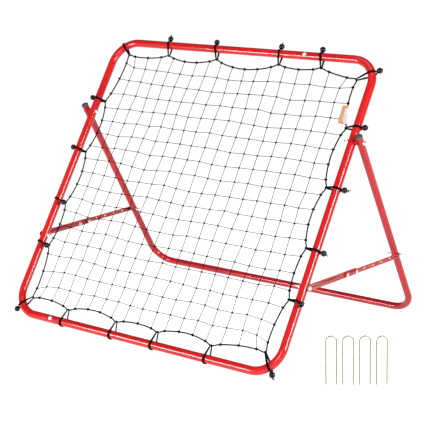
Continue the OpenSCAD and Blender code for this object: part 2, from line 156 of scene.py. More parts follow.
# Balls that are not in line with their cords: shift from the tube, and height off the net
RIGHT_4_BALL = ((0.0175, -0.009), 0.018)
BOTTOM_BALL = ((0, 0.008), 0.002 - BALL_REACH)
LOW_LEFT_BALL = ((0.035, -0.010), 0.013)
CORNER_1_BALL = ((-0.016, 0.009), -0.0175)

# Label folded over the right edge of the net: middle, height, width, and how far its foot leans
# out. Its top end and its lower outer corner are orange, its outer part is beige.
RIGHT_EDGE_X = 0.38
LABEL_U = 0.794
LABEL_H = 0.058
LABEL_W = 0.016
LABEL_LEAN = 0.009
LABEL_R = ROPE_R + 0.0005
LABEL_GAP = 0.0003
LABEL_THICK = 0.0005
LABEL_ROWS = 36
LABEL_FLAP_POINTS = 12
LABEL_WRAP_STEPS = 10
LABEL_CURL = 0.0012
LABEL_WANDER = 0.0008
LABEL_HITCH_ROOM = 0.004
ORANGE_TOP, ORANGE_FOOT, ORANGE_FOOT_OUT, BEIGE_OUT = 0.82, 0.12, 0.3, 0.42
STITCHES = 13
STITCH_R = 0.00025
STITCH_IN = 0.22
STITCH_MARGIN = 0.008

# Fasteners, M6
BOLT_R = 0.003
HEX_FLAT = 0.005
HEX_SEGMENTS = 48
HEAD_H = 0.004
NUT_BORE_R = BOLT_R * 1.02
THREAD_L = 0.018
THREAD_PITCH = 0.001
THREAD_ROOT = 0.83
THREAD_CREST = 0.985

# Edges of the CAD nodes that are shown as they are
WELD_GAP = 0.00001
EDGE_ANGLE = 40

# Materials: one roughness for every coat, the middle range of a noise, and label threads
COAT_ROUGHNESS = 0.08
NOISE_LOW, NOISE_HIGH = 0.3, 0.7
LABEL_THREADS = 420.0

# Studio: a glowing paper floor, a dim white world, and area lights given as name, place, aim,
# size in metres and watts. The strip draws the highlights of the side tubes, the left panel
# those of the level tubes, and the other two fill.
FLOOR_REACH = 40
FLOOR_GLOW = 0.97
WORLD_GLOW = 0.15
AREA_LIGHTS = [
    ("right_strip", (3.5, -0.8, 1.6), (0.3, 0, 0.4), (0.5, 1.6), 165),
    ("left_panel", (-1.42, -2.66, 0.42), (0.1, 0, 0.45), (1.05, 0.78), 76),
    ("softbox", (1.3, -3.6, 1.9), (0.1, -0.1, 0.5), (1.4, 1.4), 62),
    ("overhead", (0.2, -0.4, 3.4), (0, 0, 0.3), (2.4, 1.4), 16),
]


# Mesh building

class Build:
    """Gathers vertices, faces, material numbers and cord coordinates into one mesh."""

    def __init__(self):
        self.points = []
        self.faces = []
        self.slots = []
        self.strand = []
        self.count = 0

    def add(self, points, faces, slot=0, strand=None):
        """slot is one material number for all the faces, or a list with one for each."""
        points = np.asarray(points, float)
        self.points.append(points)
        self.faces += [tuple(i + self.count for i in f) for f in faces]
        self.slots += slot if isinstance(slot, list) else [slot] * len(faces)
        self.strand.append(np.zeros((len(points), 3)) if strand is None else strand)
        self.count += len(points)

    def make(self, name, materials, body, replaces=(), matrix=None, smooth=60):
        mesh = bpy.data.meshes.new(name)
        points = np.concatenate(self.points)
        mesh.from_pydata(points.tolist(), [], self.faces)
        for m in materials:
            mesh.materials.append(m)
        mesh.polygons.foreach_set("material_index", self.slots)
        strand = mesh.attributes.new("strand", "FLOAT_VECTOR", "POINT")
        strand.data.foreach_set("vector", np.concatenate(self.strand).astype(np.float32).ravel())
        if matrix is not None:
            mesh.transform(matrix)
        mesh.validate()
        mesh.update()
        outward(mesh)
        obj = bpy.data.objects.new(name, mesh)
        bpy.context.scene.collection.objects.link(obj)
        smooth_by_angle(mesh, smooth)
        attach(obj, body)
        if replaces:
            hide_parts(*replaces)
        return obj


def outward(mesh):
    """Makes every closed shell's faces look outwards."""
    bm = bmesh.new()
    bm.from_mesh(mesh)
    bmesh.ops.recalc_face_normals(bm, faces=bm.faces)
    bm.to_mesh(mesh)
    bm.free()


def smooth_by_angle(mesh, degrees):
    mesh.polygons.foreach_set("use_smooth", [True] * len(mesh.polygons))
    mesh.set_sharp_from_angle(angle=math.radians(degrees))


def transport(points, closed):
    """Tangent, normal and binormal at each point, turned as little as can be."""
    if closed:
        ahead = np.roll(points, -1, axis=0) - np.roll(points, 1, axis=0)
    else:
        ahead = np.gradient(points, axis=0)
    tangent = ahead / np.linalg.norm(ahead, axis=1)[:, None]
    start = np.array([0.0, 0.0, 1.0]) if abs(tangent[0][2]) < 0.9 else np.array([1.0, 0.0, 0.0])
    normal = np.zeros_like(points)
    normal[0] = start - tangent[0] * (start @ tangent[0])
    normal[0] /= np.linalg.norm(normal[0])
    for i in range(1, len(points)):
        n = normal[i - 1] - tangent[i] * (normal[i - 1] @ tangent[i])
        normal[i] = n / np.linalg.norm(n)
    return tangent, normal, np.cross(tangent, normal)


def sweep(points, radius, sides=8, closed=False, lobes=0, depth=0.0, lay=0.02):
    """A tube along points; with lobes it is a laid rope, whose strands turn once in lay metres."""
    points = np.asarray(points, float)
    count = len(points)
    tangent, normal, binormal = transport(points, closed)
    steps = np.linalg.norm(np.diff(points, axis=0), axis=1)
    along = np.concatenate([[0], np.cumsum(steps)])
    radius = np.broadcast_to(np.asarray(radius, float), (count,))
    twist = np.zeros(count)
    if closed:
        back = normal[-1] - tangent[0] * (normal[-1] @ tangent[0])
        turn = math.atan2(np.cross(back, normal[0]) @ tangent[0], back @ normal[0])
        twist = turn * along / along[-1]
    angles = np.arange(sides) * 2 * math.pi / sides
    total = along[-1]
    if closed and lobes:
        total += np.linalg.norm(points[0] - points[-1])
        lay = total / max(1, round(total / lay))
    shape = angles[None, :] + twist[:, None]
    size = radius[:, None] * np.ones(sides)
    if lobes:
        phase = lobes * (angles[None, :] - 2 * math.pi * along[:, None] / lay)
        size = size * (1 - depth * 0.5 * (1 - np.abs(np.cos(phase / 2)) * 2 + 1))
    ring = (
        points[:, None, :]
        + size[:, :, None] * (
            np.cos(shape)[:, :, None] * normal[:, None, :]
            + np.sin(shape)[:, :, None] * binormal[:, None, :]
        )
    )
    strand = np.stack([
        np.broadcast_to(np.cos(angles), (count, sides)),
        np.broadcast_to(np.sin(angles), (count, sides)),
        np.broadcast_to(along[:, None], (count, sides)),
    ], axis=2)
    faces = []
    for i in range(count if closed else count - 1):
        a, b = i * sides, ((i + 1) % count) * sides
        for k in range(sides):
            n = (k + 1) % sides
            faces.append((a + k, a + n, b + n, b + k))
    verts, cords = ring.reshape(-1, 3), strand.reshape(-1, 3)
    if not closed:
        first, last = len(verts), len(verts) + 1
        ends = np.array([
            points[0] - tangent[0] * radius[0] * 0.5,
            points[-1] + tangent[-1] * radius[-1] * 0.5,
        ])
        verts = np.concatenate([verts, ends])
        cords = np.concatenate([cords, [[1, 0, 0], [1, 0, along[-1]]]])
        tail = (count - 1) * sides
        for k in range(sides):
            n = (k + 1) % sides
            faces.append((first, n, k))
            faces.append((last, tail + k, tail + n))
    return verts, faces, cords


def smooth_line(points, per_span, closed=False):
    """A Catmull-Rom curve through points."""
    p = np.asarray(points, float)
    count = len(p)
    line = []
    for i in range(count if closed else count - 1):
        if closed:
            a, b, c, d = p[i - 1], p[i], p[(i + 1) % count], p[(i + 2) % count]
        else:
            a, b, c, d = p[max(i - 1, 0)], p[i], p[i + 1], p[min(i + 2, count - 1)]
        for k in range(per_span):
            t = k / per_span
            line.append(0.5 * (
                2 * b + (c - a) * t + (2 * a - 5 * b + 4 * c - d) * t * t
                + (3 * b - a - 3 * c + d) * t ** 3
            ))
    if not closed:
        line.append(p[-1])
    return np.array(line)


def lathe(profile, segments, matrix=None):
    """A solid of revolution about Z from (radius, height) points, closed at the axis."""
    points = []
    rings = []
    for r, z in profile:
        if r < 1e-7:
            rings.append([len(points)])
            points.append((0, 0, z))
        else:
            rings.append(list(range(len(points), len(points) + segments)))
            for k in range(segments):
                a = 2 * math.pi * k / segments
                points.append((r * math.cos(a), r * math.sin(a), z))
    faces = []
    for lower, upper in zip(rings, rings[1:]):
        for k in range(segments):
            n = (k + 1) % segments
            if len(lower) == 1 and len(upper) > 1:
                faces.append((lower[0], upper[n], upper[k]))
            elif len(upper) == 1 and len(lower) > 1:
                faces.append((lower[k], lower[n], upper[0]))
            elif len(lower) > 1:
                faces.append((lower[k], lower[n], upper[n], upper[k]))
    points = np.array(points)
    if matrix is not None:
        m = np.array(matrix)
        points = points @ m[:3, :3].T + m[:3, 3]
    return points, faces


def facing(direction, at=(0, 0, 0)):
    """A matrix that turns Z to direction and moves the origin to at."""
    turn = Vector(direction).to_track_quat("Z", "Y").to_matrix().to_4x4()
    return Matrix.Translation(Vector(at)) @ turn


# Materials

def new_material(name, color, roughness, metallic=0.0, coat=0.0, sheen=0.0, specular=0.5):
    mat = bpy.data.materials.new(name)
    mat.use_nodes = True
    shader = mat.node_tree.nodes["Principled BSDF"]
    shader.inputs["Base Color"].default_value = (*color, 1)
    shader.inputs["Roughness"].default_value = roughness
    shader.inputs["Metallic"].default_value = metallic
    shader.inputs["Coat Weight"].default_value = coat
    shader.inputs["Coat Roughness"].default_value = COAT_ROUGHNESS
    shader.inputs["Sheen Weight"].default_value = sheen
    shader.inputs["Specular IOR Level"].default_value = specular
    return mat, mat.node_tree, shader


def node(tree, kind, **settings):
    made = tree.nodes.new(kind)
    for key, value in settings.items():
        if key in made.inputs:
            made.inputs[key].default_value = value
        else:
            setattr(made, key, value)
    return made


def noise(tree, scale, detail=3.0, stretch=(1, 1, 1)):
    """A noise over the object's own coordinates."""
    place = node(tree, "ShaderNodeTexCoord")
    turn = node(tree, "ShaderNodeMapping")
    turn.inputs["Scale"].default_value = stretch
    grain = node(tree, "ShaderNodeTexNoise", Scale=scale, Detail=detail)
    tree.links.new(place.outputs["Object"], turn.inputs["Vector"])
    tree.links.new(turn.outputs["Vector"], grain.inputs["Vector"])
    return grain.outputs["Fac"]


def ramp(tree, value, low, high, start=0.35, end=0.65):
    """Colour from low to high as value goes from start to end."""
    made = node(tree, "ShaderNodeValToRGB")
    made.color_ramp.elements[0].position = start
    made.color_ramp.elements[1].position = end
    made.color_ramp.elements[0].color = (*low, 1)
    made.color_ramp.elements[1].color = (*high, 1)
    tree.links.new(value, made.inputs["Fac"])
    return made.outputs["Color"]


def vary(tree, shader, value, low, high):
    """Roughness from low to high over value."""
    span = node(tree, "ShaderNodeMapRange")
    span.inputs["From Min"].default_value = NOISE_LOW
    span.inputs["From Max"].default_value = NOISE_HIGH
    span.inputs["To Min"].default_value = low
    span.inputs["To Max"].default_value = high
    tree.links.new(value, span.inputs["Value"])
    tree.links.new(span.outputs["Result"], shader.inputs["Roughness"])


def bump(tree, shader, height, strength, distance):
    raised = node(tree, "ShaderNodeBump", Strength=strength, Distance=distance)
    tree.links.new(height, raised.inputs["Height"])
    tree.links.new(raised.outputs["Normal"], shader.inputs["Normal"])


def bent_tube_normal(tree, tube):
    """The exact outward normal of a tube that is bent to a rounded path lying in one plane.
    The CAD mesh's own corner normals are uneven and break a thin highlight into dashes. Bores,
    ends and drilled edges, which are off the tube's skin, keep the mesh's normal."""
    at, tilt, low, high, bend, radius = tube

    def vector(operation, *values):
        made = node(tree, "ShaderNodeVectorMath", operation=operation)
        for socket, value in zip(made.inputs, values):
            if isinstance(value, tuple):
                socket.default_value = value
            else:
                tree.links.new(value, socket)
        return made

    def number(operation, *values):
        made = node(tree, "ShaderNodeMath", operation=operation)
        for socket, value in zip(made.inputs, values):
            if isinstance(value, float):
                socket.default_value = value
            else:
                tree.links.new(value, socket)
        return made.outputs[0]

    coords = node(tree, "ShaderNodeTexCoord")
    place = node(tree, "ShaderNodeMapping", vector_type="TEXTURE")
    place.inputs["Location"].default_value = at
    place.inputs["Rotation"].default_value = (tilt, 0, 0)
    tree.links.new(coords.outputs["Object"], place.inputs["Vector"])
    flat = vector("MULTIPLY", place.outputs[0], (1, 1, 0)).outputs[0]
    height = vector("MULTIPLY", place.outputs[0], (0, 0, 1)).outputs[0]
    core = vector("MAXIMUM", flat, (*low, 0)).outputs[0]
    core = vector("MINIMUM", core, (*high, 0)).outputs[0]
    out = vector("SUBTRACT", flat, core).outputs[0]
    reach = vector("LENGTH", out).outputs["Value"]
    share = node(tree, "ShaderNodeVectorMath", operation="SCALE")
    tree.links.new(out, share.inputs[0])
    tree.links.new(number("SUBTRACT", 1.0, number("DIVIDE", bend, reach)), share.inputs["Scale"])
    away = vector("ADD", share.outputs[0], height).outputs[0]
    off = number("SUBTRACT", vector("LENGTH", away).outputs["Value"], radius)
    on_skin = number("LESS_THAN", number("ABSOLUTE", off), SKIN_ROOM)
    turned = node(tree, "ShaderNodeMapping", vector_type="VECTOR")
    turned.inputs["Rotation"].default_value = (tilt, 0, 0)
    tree.links.new(vector("NORMALIZE", away).outputs[0], turned.inputs["Vector"])
    world = node(tree, "ShaderNodeVectorTransform", vector_type="NORMAL",
                 convert_from="OBJECT", convert_to="WORLD")
    tree.links.new(turned.outputs[0], world.inputs[0])
    mesh = node(tree, "ShaderNodeNewGeometry")
    mix = node(tree, "ShaderNodeMix", data_type="VECTOR")
    factor, off_tube, on_tube = mix.inputs[0], mix.inputs[4], mix.inputs[5]
    tree.links.new(on_skin, factor)
    tree.links.new(mesh.outputs["Normal"], off_tube)
    tree.links.new(world.outputs[0], on_tube)
    return mix.outputs[1]


def powder_coat(name, color, deep, tube=None):
    """Gloss paint baked on steel: slow drifts in colour and a faint orange peel."""
    mat, tree, shader = new_material(name, color, 0.2, specular=0.42)
    tree.links.new(ramp(tree, noise(tree, 9, 4), deep, color), shader.inputs["Base Color"])
    vary(tree, shader, noise(tree, 60, 3), 0.11, 0.15)
    bump(tree, shader, noise(tree, 120, 2), 0.004, 0.0002)
    if tube:
        peel = shader.inputs["Normal"].links[0].from_node
        tree.links.new(bent_tube_normal(tree, tube), peel.inputs["Normal"])
    return mat


def plated(name, color, dull, rough, streak=(1, 1, 1)):
    """Zinc-plated steel with cloudy spangles and fine rubbing marks."""
    mat, tree, shader = new_material(name, color, rough, metallic=1.0)
    cloud = ramp(tree, noise(tree, 220, 4), dull, color, 0.3, 0.6)
    tree.links.new(cloud, shader.inputs["Base Color"])
    vary(tree, shader, noise(tree, 480, 3, streak), rough * 0.75, rough * 1.35)
    bump(tree, shader, noise(tree, 1500, 2, streak), 0.15, 0.0002)
    return mat


def moulded(name, color, light, rough, coat=0.0, grain=900, strength=0.12, specular=0.5):
    """Moulded plastic with a fine grain."""
    mat, tree, shader = new_material(name, color, rough, coat=coat, specular=specular)
    mottle = ramp(tree, noise(tree, 130, 3), color, light, 0.35, 0.75)
    tree.links.new(mottle, shader.inputs["Base Color"])
    vary(tree, shader, noise(tree, 300, 2), rough * 0.85, rough * 1.2)
    bump(tree, shader, noise(tree, grain, 2), strength, 0.0003)
    return mat


def braid_height(tree, around, pitch):
    """Height of a braid: two sets of strands that cross as they wind round a cord."""
    place = node(tree, "ShaderNodeAttribute", attribute_name="strand")
    split = node(tree, "ShaderNodeSeparateXYZ")
    angle = node(tree, "ShaderNodeMath", operation="ARCTAN2")
    tree.links.new(place.outputs["Vector"], split.inputs[0])
    tree.links.new(split.outputs["Y"], angle.inputs[0])
    tree.links.new(split.outputs["X"], angle.inputs[1])
    waves = []
    for side in (-1, 1):
        wound = node(tree, "ShaderNodeMath", operation="MULTIPLY")
        wound.inputs[1].default_value = side * around
        phase = node(tree, "ShaderNodeMath", operation="MULTIPLY_ADD")
        phase.inputs[1].default_value = 2 * math.pi / pitch
        wave = node(tree, "ShaderNodeMath", operation="SINE")
        tree.links.new(angle.outputs[0], wound.inputs[0])
        tree.links.new(split.outputs["Z"], phase.inputs[0])
        tree.links.new(wound.outputs[0], phase.inputs[2])
        tree.links.new(phase.outputs[0], wave.inputs[0])
        waves.append(wave)
    joined = node(tree, "ShaderNodeMath", operation="MAXIMUM")
    tree.links.new(waves[0].outputs[0], joined.inputs[0])
    tree.links.new(waves[1].outputs[0], joined.inputs[1])
    return joined.outputs[0]


def braided(name, color, light, around, pitch, rough=0.75):
    """Braided or laid cord: the strands' crests are painted lighter as a painted highlight, and
    the gaps between them painted darker as painted shade.
    """
    mat, tree, shader = new_material(name, color, rough, specular=0.06)
    height = braid_height(tree, around, pitch)
    # Painted highlight and shade: colour goes from dark in the gaps to light on the crests, by
    # braid height.
    tree.links.new(ramp(tree, height, color, light, 0.1, 0.95), shader.inputs["Base Color"])
    vary(tree, shader, noise(tree, 900, 2), rough * 0.85, rough)
    bump(tree, shader, height, 0.5, 0.0003)
    return mat


def woven(name, color, light, rough=0.8):
    """Woven label cloth: fine crossing threads."""
    mat, tree, shader = new_material(name, color, rough, sheen=0.2, specular=0.3)
    place = node(tree, "ShaderNodeTexCoord")
    across = node(tree, "ShaderNodeTexWave", Scale=LABEL_THREADS, bands_direction="X")
    up = node(tree, "ShaderNodeTexWave", Scale=LABEL_THREADS, bands_direction="Z")
    both = node(tree, "ShaderNodeMath", operation="MULTIPLY")
    for wave, side in ((across, 0), (up, 1)):
        tree.links.new(place.outputs["Object"], wave.inputs["Vector"])
        tree.links.new(wave.outputs["Fac"], both.inputs[side])
    tree.links.new(ramp(tree, noise(tree, 500, 2), color, light), shader.inputs["Base Color"])
    bump(tree, shader, both.outputs[0], 0.35, 0.0002)
    return mat


RED = powder_coat("red_powder_coat", (0.43, 0.009, 0.009), (0.39, 0.006, 0.008), FRAME_TUBE)
# The stand has the frame's red paint; this copy of it is painted darker and bluer as painted
# shade.
SHADED_STAND_RED = powder_coat(
    "stand_powder_coat_painted_shade", (0.34, 0.007, 0.011), (0.30, 0.005, 0.009), STAND_TUBE)
# The bars have the frame's red paint; this copy is painted darker as painted shade, to offset the
# brightness that the strip light's reflection gives their flat faces.
SHADED_BAR_RED = powder_coat("bar_powder_coat_painted_shade", (0.32, 0.010, 0.009), (0.28, 0.008, 0.008))
ZINC = plated("zinc_plate", (0.84, 0.84, 0.83), (0.66, 0.67, 0.67), 0.28)
SPRING = plated("spring_steel", (0.55, 0.55, 0.56), (0.42, 0.42, 0.44), 0.35, (1, 8, 8))
BUTTON = plated("button_metal", (1.0, 0.98, 0.80), (0.95, 0.92, 0.72), 0.55)
PEG = plated("peg_wire", (0.33, 0.30, 0.20), (0.22, 0.20, 0.14), 0.42, (1, 1, 0.2))
CAP = moulded("cap_plastic", (0.028, 0.040, 0.044), (0.045, 0.058, 0.064), 0.42, 0.05)
NYLON = moulded("spacer_nylon", (0.42, 0.008, 0.014), (0.5, 0.012, 0.02), 0.5)
BALL = moulded("ball_plastic", (0.001, 0.001, 0.0015), (0.003, 0.003, 0.004), 0.14,
               coat=0.05, grain=260, strength=0.05, specular=0.25)
TWINE = braided("net_twine", (0.001, 0.001, 0.0015), (0.004, 0.004, 0.005), 2, 0.004)
ROPE = braided("edge_rope", (0.0005, 0.0005, 0.0008), (0.003, 0.003, 0.004), 4, 0.006)
ELASTIC = braided("elastic_cord", (0.0005, 0.0005, 0.0008), (0.003, 0.003, 0.004), 5, 0.003)
ORANGE = woven("label_orange", (0.60, 0.13, 0.012), (0.68, 0.18, 0.02))
PALE = woven("label_pale", (0.40, 0.38, 0.38), (0.50, 0.47, 0.46))
BEIGE = woven("label_beige", (0.38, 0.17, 0.085), (0.46, 0.24, 0.14))
THREAD = braided("label_thread", (0.75, 0.72, 0.68), (0.9, 0.88, 0.85), 2, 0.001)


# CAD nodes that stay as they are get a material, welded edges and a small round on each edge

def keep(name, material, edge=0.0003):
    obj = frame["nodes"][name]
    obj.data.materials.clear()
    obj.data.materials.append(material)
    obj.data.polygons.foreach_set("use_smooth", [True] * len(obj.data.polygons))
    weld = obj.modifiers.new("weld", "WELD")
    weld.merge_threshold = WELD_GAP
    rounded = obj.modifiers.new("round", "BEVEL")
    rounded.width = edge
    rounded.segments = 2
    rounded.limit_method = "ANGLE"
    rounded.angle_limit = math.radians(EDGE_ANGLE)
    rounded.harden_normals = False


def keep_cad_nodes():
    for side in ("left", "right"):
        keep(f"{side}_frame_half", RED, 0.0004)
        keep(f"{side}_lower_bar", SHADED_BAR_RED, 0.0005)
        keep(f"{side}_upper_bar", SHADED_BAR_RED, 0.0005)
        keep(f"{side}_lock_bolts", ZINC)
        keep(f"{side}_lock_nuts", ZINC)
        keep(f"{side}_leg_cap", CAP, 0.0004)
    keep("stand_tube", SHADED_STAND_RED, 0.0004)
    keep("frame_washers", ZINC)
    keep("stand_washers", ZINC)
    keep("pivot_spacers", NYLON)
    for where in ("top", "bottom"):
        keep(f"{where}_button", BUTTON, 0.0002)
        keep(f"{where}_button_spring", SPRING, 0.0001)
    for i in range(1, 5):
        keep(f"ground_peg_{i}", PEG, 0.0001)


# Bolts and nuts along X

def hex_rings(levels):
    """Rings of a hexagon, each from (share of its size, height, radius that cuts its corners)."""
    points, faces = [], []
    for share, z, limit in levels:
        for k in range(HEX_SEGMENTS):
            a = 2 * math.pi * k / HEX_SEGMENTS
            turn = (a + math.pi / 6) % (math.pi / 3) - math.pi / 6
            r = min(HEX_FLAT / math.cos(turn), limit) * share
            points.append((r * math.cos(a), r * math.sin(a), z))
    for row in range(len(levels) - 1):
        for k in range(HEX_SEGMENTS):
            n = (k + 1) % HEX_SEGMENTS
            a, b = row * HEX_SEGMENTS, (row + 1) * HEX_SEGMENTS
            faces.append((a + k, a + n, b + n, b + k))
    return points, faces


def hex_solid(build, matrix, height, hole=0.0):
    """A chamfered hexagon from z 0 to height, with a hole through it if hole is its radius."""
    wide = HEX_FLAT * 1.2
    levels = [
        (0.96, 0.0, HEX_FLAT * 0.98), (1.0, height * 0.10, wide),
        (1.0, height * 0.82, wide), (0.97, height * 0.95, HEX_FLAT * 1.03),
        (0.90, height, HEX_FLAT * 0.98),
    ]
    points, faces = hex_rings(levels)
    last = (len(levels) - 1) * HEX_SEGMENTS
    if hole:
        inner = len(points)
        top = inner + HEX_SEGMENTS
        for z in (0.0, height):
            for k in range(HEX_SEGMENTS):
                a = 2 * math.pi * k / HEX_SEGMENTS
                points.append((hole * math.cos(a), hole * math.sin(a), z))
        for k in range(HEX_SEGMENTS):
            n = (k + 1) % HEX_SEGMENTS
            faces.append((n, k, inner + k, inner + n))
            faces.append((last + k, last + n, top + n, top + k))
            faces.append((inner + n, inner + k, top + k, top + n))
    else:
        points += [(0, 0, 0), (0, 0, height)]
        low, high = len(points) - 2, len(points) - 1
        for k in range(HEX_SEGMENTS):
            n = (k + 1) % HEX_SEGMENTS
            faces.append((low, n, k))
            faces.append((high, last + k, last + n))
    m = np.array(matrix)
    build.add(np.array(points) @ m[:3, :3].T + m[:3, 3], faces)


def screw(build, matrix, length):
    """A shank from just inside the head down to -length, with a threaded end."""
    profile = [(0, 0.0005), (BOLT_R, 0.0005), (BOLT_R, -length + THREAD_L)]
    root = BOLT_R * THREAD_ROOT
    crest = BOLT_R * THREAD_CREST
    for i in range(int(THREAD_L / THREAD_PITCH) - 1):
        z = -length + THREAD_L - i * THREAD_PITCH
        profile += [(root, z - 0.25 * THREAD_PITCH), (crest, z - 0.6 * THREAD_PITCH),
                    (crest, z - 0.75 * THREAD_PITCH)]
    profile += [(root, -length + 0.0004), (root * 0.85, -length), (0, -length)]
    points, faces = lathe(profile, 24, matrix)
    build.add(points, faces)


def side_points(name, side):
    """A node's corners on one side of the middle: lowest and highest."""
    co = np.array([v.co for v in frame["nodes"][name].data.vertices], float)
    co = co[co[:, 0] * side > 0]
    return co.min(0), co.max(0)


def bolt_group(name, piece, body):
    """Both sides' bolts in a node, heads outwards."""
    build = Build()
    for side in (-1, 1):
        low, high = side_points(name, side)
        middle = (low + high) / 2
        outer, inner = (high[0], low[0]) if side > 0 else (low[0], high[0])
        seat = outer - side * HEAD_H
        m = facing((side, 0, 0), (seat, middle[1], middle[2]))
        hex_solid(build, m, HEAD_H)
        screw(build, m, abs(seat - inner))
    build.make(piece, [ZINC], body, [name], smooth=35)


def nut_group(name, piece, body):
    """Both sides' nuts in a node, facing inwards."""
    build = Build()
    for side in (-1, 1):
        low, high = side_points(name, side)
        middle = (low + high) / 2
        start = high[0] if side > 0 else low[0]
        m = facing((-side, 0, 0), (start, middle[1], middle[2]))
        hex_solid(build, m, high[0] - low[0], NUT_BORE_R)
    build.make(piece, [ZINC], body, [name], smooth=35)


def fasteners():
    bolt_group("pivot_bolts", "pivot_hex_bolts", "main_frame")
    bolt_group("lower_bar_bolts", "lower_bar_hex_bolts", "main_frame")
    bolt_group("upper_bar_bolts", "upper_bar_hex_bolts", "stand")
    nut_group("pivot_nuts", "pivot_hex_nuts", "main_frame")
    nut_group("lower_bar_nuts", "lower_bar_hex_nuts", "main_frame")
    nut_group("upper_bar_nuts", "upper_bar_hex_nuts", "stand")


# Where the ties are, in the net frame's axes

def outer_tie(net, tube):
    """A tie whose ball is beyond the tube, in line with its cords."""
    net, tube = Vector(net), Vector(tube)
    ball = tube + (tube - net).normalized() * BALL_REACH
    return net, tube, (ball.x, ball.y, 0.0)


def placed_tie(net, tube, shift, up):
    """A tie whose ball is shifted from its place on the tube, and up out of the net's face."""
    return Vector(net), Vector(tube), (tube[0] + shift[0], tube[1] + shift[1], up)


def along(pair, gap):
    """Where the line from net to ball, whose places along the side are pair, meets the tube."""
    return pair[0] + (pair[1] - pair[0]) * gap / (gap + BALL_REACH)


def arc_point(sx, sy, degrees):
    """A point on a corner bend's centre line."""
    a = math.radians(degrees)
    straight = HALF - BEND_R
    return (sx * (straight + BEND_R * math.cos(a)), HALF + sy * (straight + BEND_R * math.sin(a)))


def all_ties():
    """Each tie's place on the net, on the tube and of its ball, by name."""
    ties = {}
    for i, p in enumerate(TOP_TIES):
        ties[f"top_{i + 1}"] = outer_tie((p[0], SIDE - GAP_TOP), (along(p, GAP_TOP), SIDE))
    for i, p in enumerate(RIGHT_TIES):
        net, tube = (HALF - GAP_RIGHT, p[0]), (HALF, along(p, GAP_RIGHT))
        ties[f"right_{i + 1}"] = outer_tie(net, tube)
    ties["right_4"] = placed_tie(
        (HALF - GAP_RIGHT, RIGHT_TIES[3][0]), (HALF, RIGHT_TIES[3][1]), *RIGHT_4_BALL)
    for i, p in enumerate(BOTTOM_TIES):
        tube = (along(p, GAP_BOTTOM), 0)
        ties[f"bottom_{i + 1}"] = placed_tie((p[0], GAP_BOTTOM), tube, *BOTTOM_BALL)
    for i, p in enumerate(LEFT_TIES):
        net = (GAP_LEFT - HALF, p[0])
        if i < 2:
            ties[f"left_{i + 1}"] = outer_tie(net, (-HALF, along(p, GAP_LEFT)))
        else:
            ties[f"left_{i + 1}"] = placed_tie(net, (-HALF, p[1]), *LOW_LEFT_BALL)
    spots = [arc_point(*a) for a in CORNER_ANGLES]
    ties["corner_1"] = placed_tie(NET_CORNERS[0], spots[0], *CORNER_1_BALL)
    for i in (1, 2, 3):
        ties[f"corner_{i + 1}"] = outer_tie(NET_CORNERS[i], spots[i])
    return ties


# The net hangs in balance between its ties: knots pull on their neighbours and on the rope

def edge_sides():
    """The rope's points on each side, in order round the net, as (kind, number, rough place)."""
    low_x, low_u = NET_CORNERS[3]
    wide = (NET_CORNERS[2][0] - low_x) / CELLS
    tall = (NET_CORNERS[0][1] - low_u) / CELLS
    xs = [low_x + wide * i for i in range(1, CELLS)]
    us = [low_u + tall * j for j in range(1, CELLS)]

    def side(name, corner, lines, side_ties, back):
        points = [(name, i + 1, at) for i, at in enumerate(lines)]
        points += [("tie", f"{name}_{i + 1}", p[0]) for i, p in enumerate(side_ties)]
        return [("tie", corner, 0)] + sorted(points, key=lambda p: p[2], reverse=back)

    return [
        side("top", "corner_1", xs, TOP_TIES, False),
        side("right", "corner_2", us, RIGHT_TIES, True),
        side("bottom", "corner_3", xs, BOTTOM_TIES, True),
        side("left", "corner_4", us, LEFT_TIES, False),
    ]


def balance_net(ties):
    """Solves for every knot's and rope point's place. Returns knots, and the rope in order."""
    rope = [(kind, number) for side in edge_sides() for kind, number, _ in side]
    knots = [(i, j) for i in range(1, CELLS) for j in range(1, CELLS)]
    free = knots + [p for p in rope if p[0] != "tie"]
    number = {p: k for k, p in enumerate(free)}
    fixed = {("tie", name): np.array([t[0].x, t[0].y, 0.0]) for name, t in ties.items()}
    pulls = []
    for i, j in knots:
        right = (i + 1, j) if i + 1 < CELLS else ("right", j)
        above = (i, j + 1) if j + 1 < CELLS else ("top", i)
        pulls += [((i, j), right, 1.0), ((i, j), above, 1.0)]
        if i == 1:
            pulls.append(((i, j), ("left", j), 1.0))
        if j == 1:
            pulls.append(((i, j), ("bottom", i), 1.0))
    for k, p in enumerate(rope):
        after = rope[(k + 1) % len(rope)]
        step = TIE_STEP if "tie" in (p[0], after[0]) else ROPE_STEP
        pulls.append((p, after, ROPE_PULL / step))
    size = len(free)
    stiff = np.zeros((size, size))
    load = np.zeros((size, 3))
    for a, b, q in pulls:
        for p, other in ((a, b), (b, a)):
            if p in number:
                stiff[number[p], number[p]] += q
                if other in number:
                    stiff[number[p], number[other]] -= q
                else:
                    load[number[p]] += q * fixed[other]
    for p in knots:
        load[number[p], 2] -= KNOT_LOAD
    places = np.linalg.solve(stiff, load)
    at = {p: places[k] for p, k in number.items()}
    at.update(fixed)
    stray = random.Random(NET_SEED)
    waves = [(stray.uniform(WAVE_LOW, WAVE_HIGH), stray.uniform(WAVE_LOW, WAVE_HIGH),
              stray.uniform(0, 6.3), stray.uniform(0, 6.3)) for _ in range(DRIFT_WAVES)]
    for i, j in knots:
        inside = min(1, min(i, j, CELLS - i, CELLS - j) / 3)
        slip = np.zeros(3)
        for a, b, c, d in waves:
            slip[0] += math.sin(a * i + b * j + c) * DRIFT * 0.35 * inside
            slip[1] += math.sin(b * i - a * j + d) * DRIFT * 0.5 * inside
        own = np.array([stray.gauss(0, KNOT_STRAY), stray.gauss(0, KNOT_STRAY), 0])
        at[(i, j)] = at[(i, j)] + slip + own
    return at, rope


